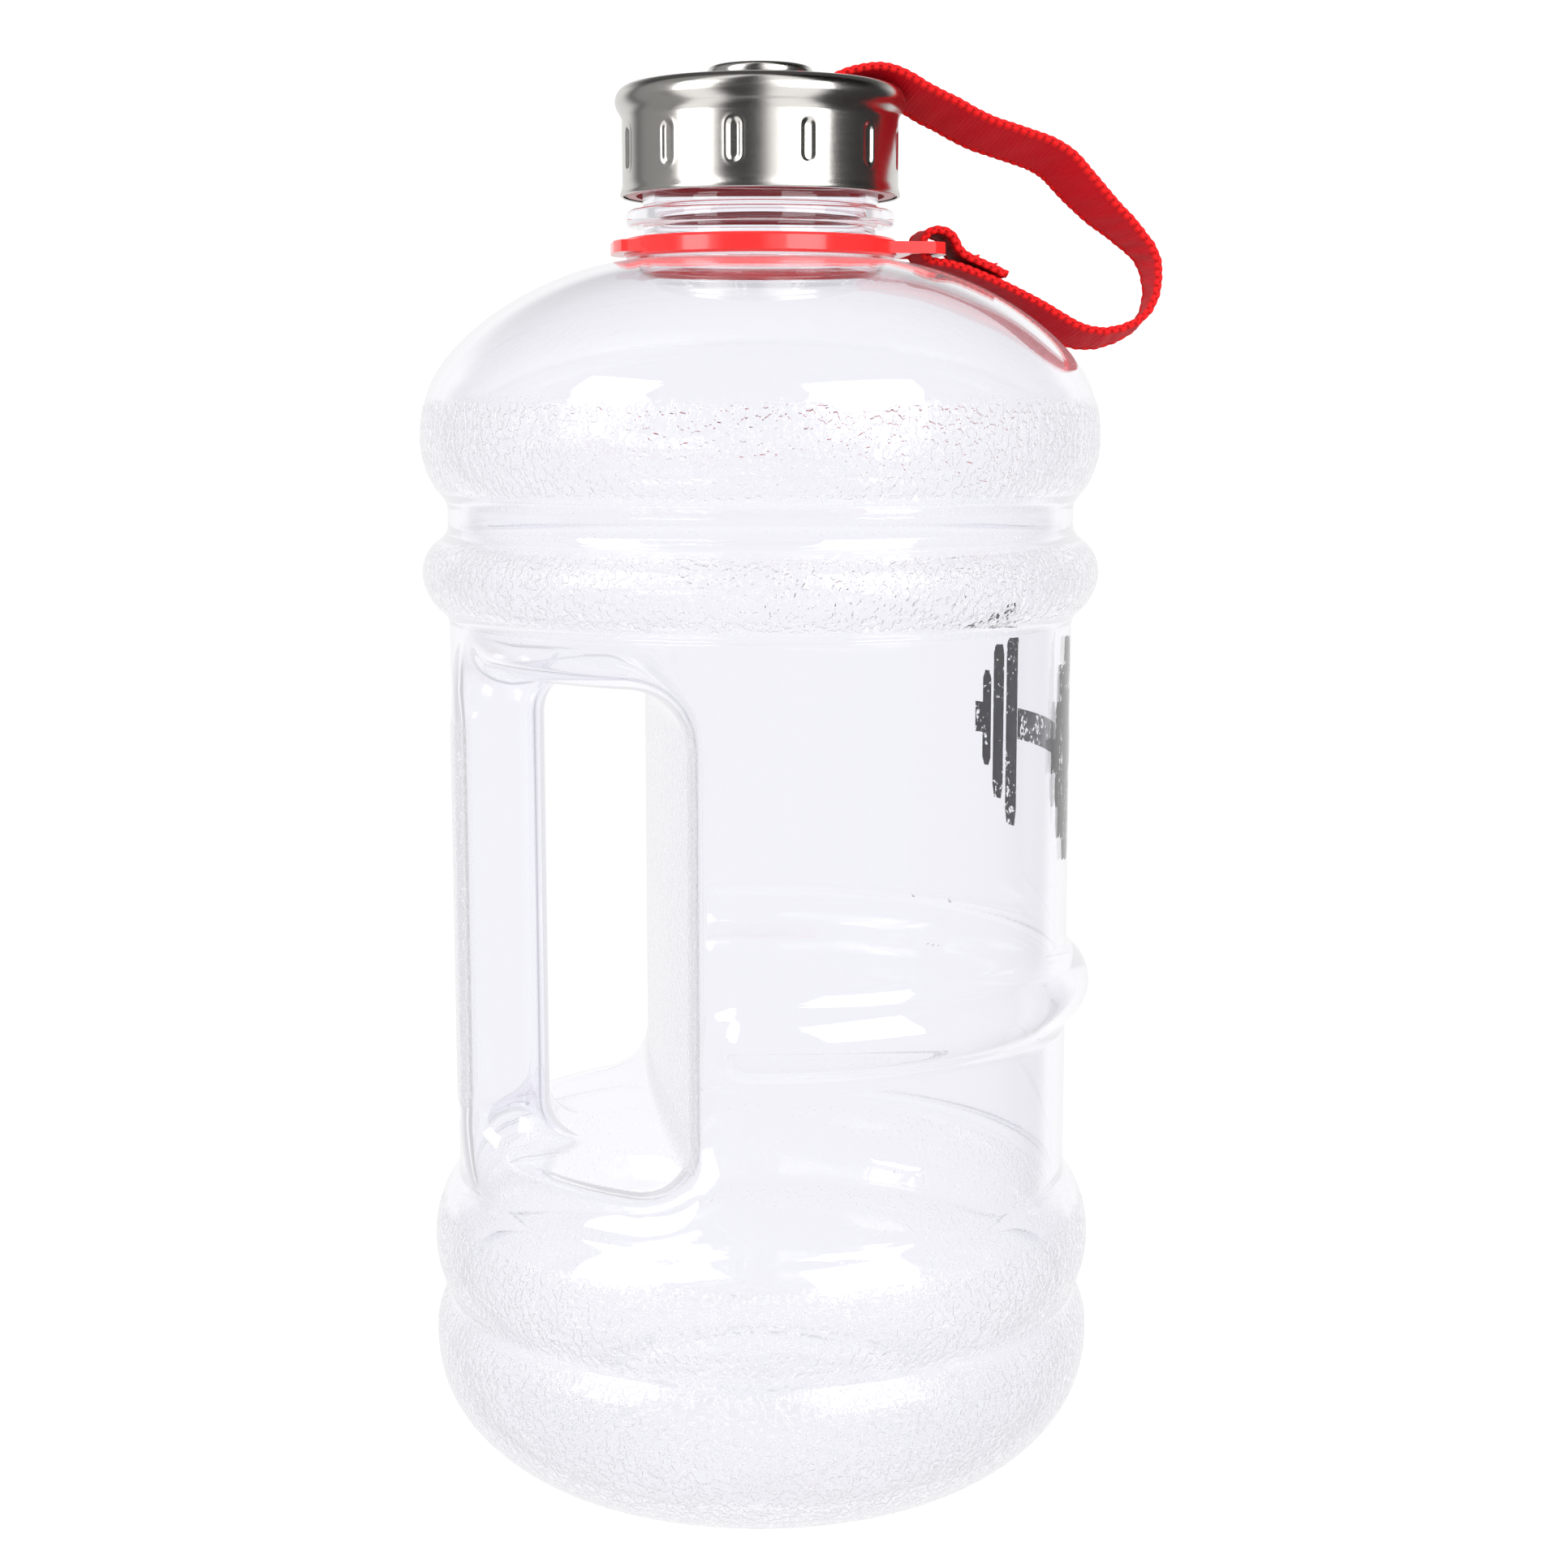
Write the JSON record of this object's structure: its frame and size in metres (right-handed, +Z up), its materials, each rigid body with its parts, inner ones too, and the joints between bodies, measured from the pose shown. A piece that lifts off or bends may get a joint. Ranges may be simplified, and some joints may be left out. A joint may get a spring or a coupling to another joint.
{
  "type": "water jug",
  "caption": "Large clear water jug with a moulded hand grip, a steel screw cap with a button on top, and a woven strap that ties the cap to a collar round the neck.",
  "frame": {"origin": "centre of the base, on the ground", "axes": "+Z up along the jug's axis, +X away from the hand grip towards the strap's loop, +Y to the side"},
  "size_m": [0.1421, 0.1304, 0.2694],
  "materials": {
    "clear_plastic": "clear, with a fine leather grain on the raised bands",
    "frosted_plastic": "clear, finely textured",
    "collar_plastic": "gloss",
    "webbing": "ribbed weave with a scalloped edge",
    "thread": "twisted thread",
    "eyelet_steel": "bright",
    "cap_steel": "brushed",
    "liner_plastic": "satin",
    "gasket_rubber": "soft matt"
  },
  "bodies": {
    "bottle": {"jug_body": "clear_plastic", "grip_pad": "frosted_plastic", "collar_ring": "collar_plastic", "strap_stitching": "thread"},
    "strap_end": {"strap": "webbing", "strap_eyelet": "eyelet_steel"},
    "cap": {"cap_shell": "cap_steel", "cap_liner": "liner_plastic", "cap_gasket": "gasket_rubber", "cap_button": "cap_steel", "cap_washer": "eyelet_steel"}
  },
  "joints": [
    {"name": "cap_lift", "type": "slide", "parent": "bottle", "child": "strap_end", "axis": [0, 0, 1], "range_m": [0, 0.018], "deforming": ["strap"]},
    {"name": "cap_turn", "type": "hinge", "parent": "strap_end", "child": "cap", "pos_m": [0, 0, 0.25], "axis": [0, 0, 1], "range_deg": [0, 1440]}
  ],
  "couplings": [
    {"joint": "cap_turn", "follows": "cap_lift", "rad_per_m": 1396.3}
  ]
}
